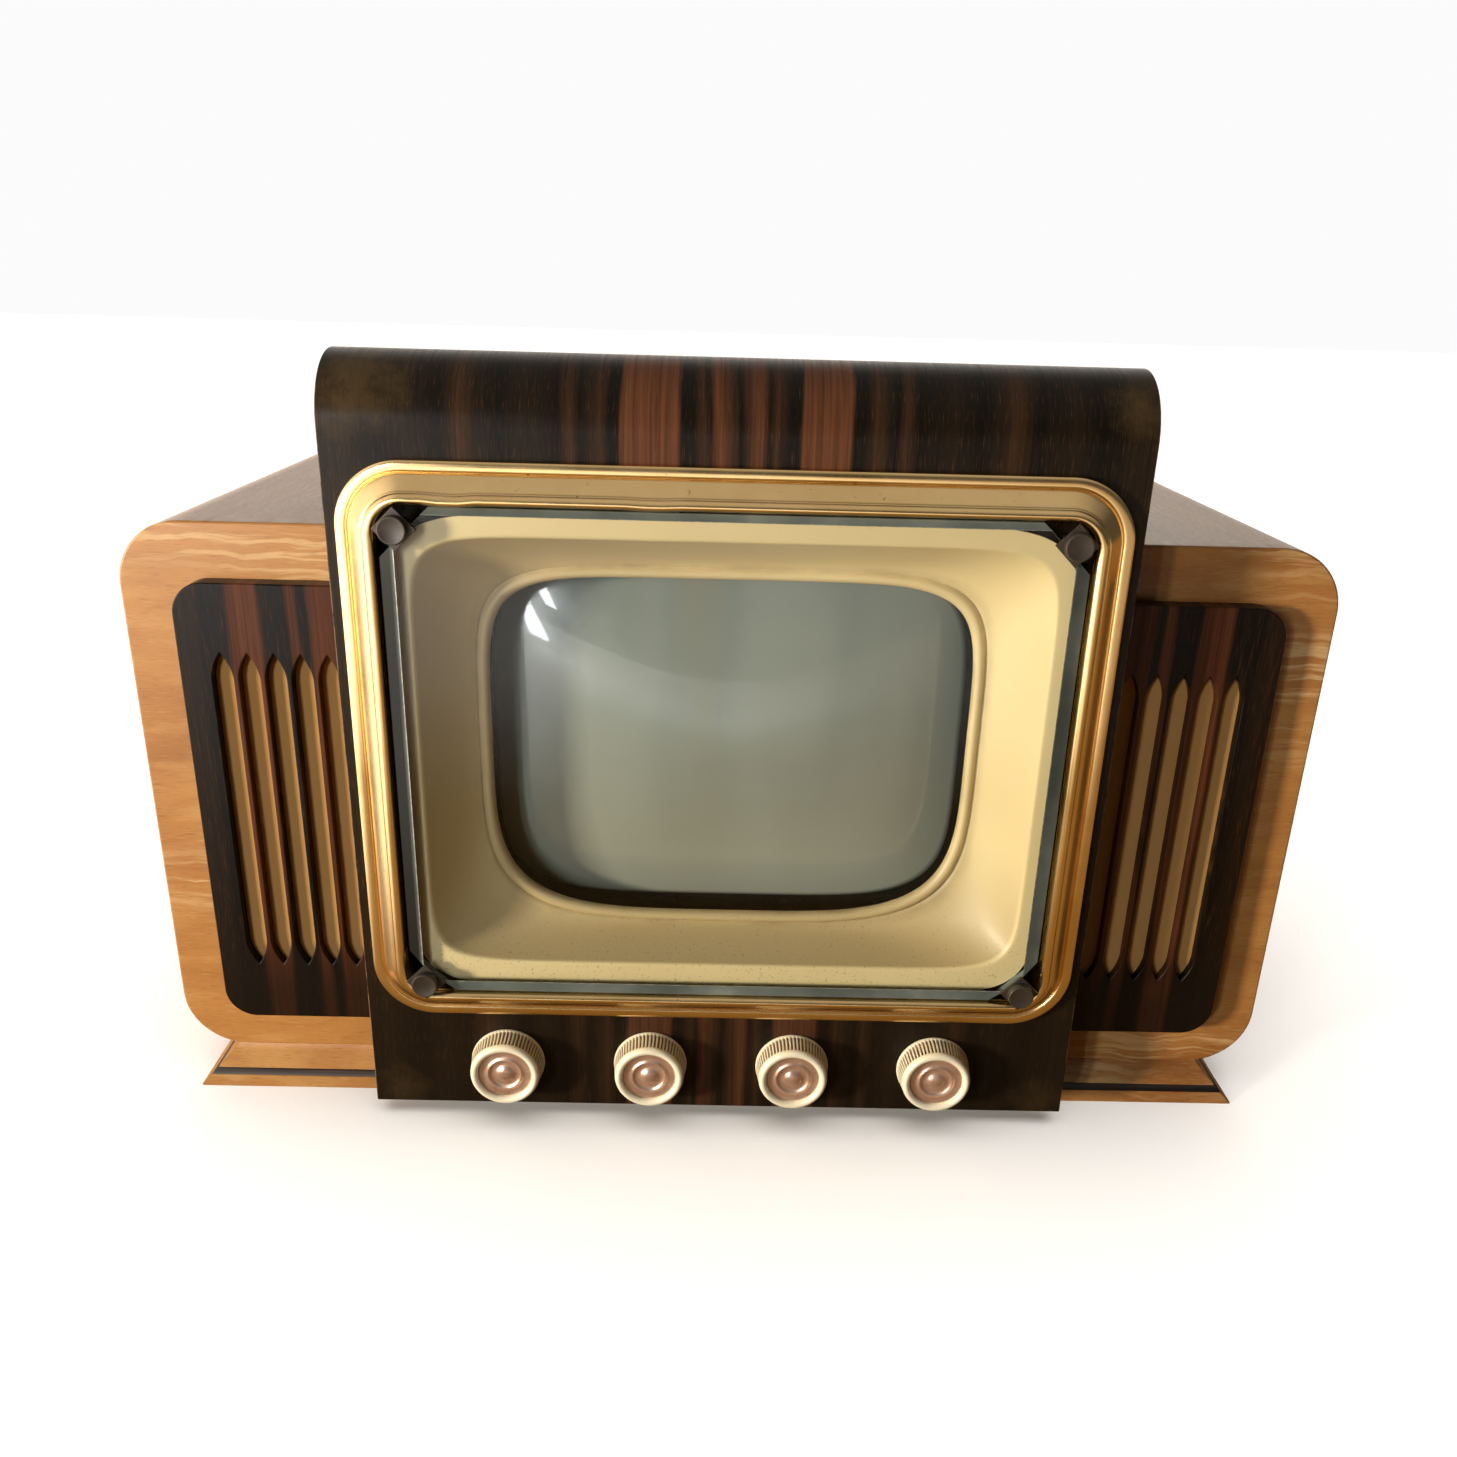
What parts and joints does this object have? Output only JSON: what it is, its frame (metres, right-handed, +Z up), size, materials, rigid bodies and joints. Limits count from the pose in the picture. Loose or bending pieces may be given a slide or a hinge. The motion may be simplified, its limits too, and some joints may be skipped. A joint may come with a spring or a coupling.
{
  "type": "tube television",
  "caption": "Table-model tube television: wide round-cornered wooden cabinet with slotted grille wings, bent dark hood, gold-framed screen and front control knobs.",
  "frame": {"origin": "middle of the bounding box in plan, on the surface that the set stands on", "axes": "+X to the viewer's right, +Y to the back of the set, +Z up; the screen faces -Y"},
  "size_m": [0.7, 0.5266, 0.4649],
  "materials": {
    "blond_veneer": "satin lacquered open-grained blond veneer",
    "ebony_veneer": "gloss-worn striped dark veneer, nearly black with red-brown stripes",
    "dark_inlay": "satin black stringing",
    "grille_cloth": "plain tan woven speaker cloth",
    "gold_metal": "polished gold anodising with light wear",
    "clear_glass": "clear plate glass with bevelled edges",
    "cream_mask": "satin cream, slightly aged",
    "dark_nickel": "turned, dark nickel plated",
    "tube_glass": "glossy grey-green face, grey coated bulb",
    "valve_glass": "clear glass with a silver getter",
    "zinc_steel": "zinc plated sheet",
    "copper_winding": "varnished copper winding",
    "black_iron": "black painted iron",
    "bright_can": "drawn aluminium",
    "bakelite": "dark brown moulded plastic",
    "cone_paper": "black felted paper",
    "ivory_plastic": "semi-gloss ivory, knurled",
    "rose_metal": "pressed metallic rose disc with fine rings",
    "fibreboard": "hard pressed brown fibreboard"
  },
  "bodies": {
    "cabinet": {"cabinet_shell": "blond_veneer", "front_baffle": "blond_veneer", "plinth_front": "blond_veneer", "plinth_left": "blond_veneer", "plinth_right": "blond_veneer", "plinth_rear": "blond_veneer", "fascia_hood": "ebony_veneer", "hood_cheek_left": "ebony_veneer", "hood_cheek_right": "ebony_veneer", "grille_panel_left": "ebony_veneer", "grille_panel_right": "ebony_veneer", "plinth_inlay": "dark_inlay", "grille_cloth_left": "grille_cloth", "grille_cloth_right": "grille_cloth", "bezel": "gold_metal", "safety_glass": "clear_glass", "screen_mask": "cream_mask", "glass_stud_top_left": "dark_nickel", "glass_stud_top_right": "dark_nickel", "glass_stud_bottom_left": "dark_nickel", "glass_stud_bottom_right": "dark_nickel", "picture_tube": "tube_glass", "valve_1": "valve_glass", "valve_2": "valve_glass", "valve_3": "valve_glass", "tube_strap": "zinc_steel", "chassis_pan": "zinc_steel", "line_output_cage": "zinc_steel", "deflection_yoke": "copper_winding", "focus_magnet": "black_iron", "mains_transformer": "black_iron", "loudspeaker_left": "black_iron", "loudspeaker_right": "black_iron", "smoothing_capacitor": "bright_can", "volume_pot": "bright_can", "brightness_pot": "bright_can", "contrast_pot": "bright_can", "channel_switch": "bright_can", "aerial_socket": "bright_can", "tube_base": "bakelite", "mains_inlet": "bakelite", "back_cover": "fibreboard", "neck_cup": "fibreboard"},
    "knob_volume": {"knob_ring_volume": "ivory_plastic", "knob_insert_volume": "rose_metal", "spindle_volume": "zinc_steel"},
    "knob_brightness": {"knob_ring_brightness": "ivory_plastic", "knob_insert_brightness": "rose_metal", "spindle_brightness": "zinc_steel"},
    "knob_contrast": {"knob_ring_contrast": "ivory_plastic", "knob_insert_contrast": "rose_metal", "spindle_contrast": "zinc_steel"},
    "knob_channel": {"knob_ring_channel": "ivory_plastic", "knob_insert_channel": "rose_metal", "spindle_channel": "zinc_steel"},
    "preset_height": {"preset_knob_height": "bakelite"},
    "preset_hold": {"preset_knob_hold": "bakelite"},
    "cone_left": {"speaker_cone_left": "cone_paper"},
    "cone_right": {"speaker_cone_right": "cone_paper"}
  },
  "joints": [
    {"name": "volume_turn", "type": "hinge", "parent": "cabinet", "child": "knob_volume", "pos_m": [-0.1329, -0.237, 0.043], "axis": [0, 1, 0], "range_deg": [0, 290]},
    {"name": "brightness_turn", "type": "hinge", "parent": "cabinet", "child": "knob_brightness", "pos_m": [-0.0443, -0.237, 0.043], "axis": [0, 1, 0], "range_deg": [-145, 145]},
    {"name": "contrast_turn", "type": "hinge", "parent": "cabinet", "child": "knob_contrast", "pos_m": [0.0443, -0.237, 0.043], "axis": [0, 1, 0], "range_deg": [-145, 145]},
    {"name": "channel_turn", "type": "hinge", "parent": "cabinet", "child": "knob_channel", "pos_m": [0.1329, -0.237, 0.043], "axis": [0, 1, 0], "continuous": true},
    {"name": "preset_height_turn", "type": "hinge", "parent": "cabinet", "child": "preset_height", "pos_m": [-0.03, 0.2076, 0.058], "axis": [0, -1, 0], "range_deg": [-135, 135]},
    {"name": "preset_hold_turn", "type": "hinge", "parent": "cabinet", "child": "preset_hold", "pos_m": [0.03, 0.2076, 0.058], "axis": [0, -1, 0], "range_deg": [-135, 135]},
    {"name": "cone_left_travel", "type": "slide", "parent": "cabinet", "child": "cone_left", "axis": [0, -1, 0], "range_m": [-0.001, 0.001], "stiffness_N_per_m": 1500},
    {"name": "cone_right_travel", "type": "slide", "parent": "cabinet", "child": "cone_right", "axis": [0, -1, 0], "range_m": [-0.001, 0.001], "stiffness_N_per_m": 1500}
  ]
}
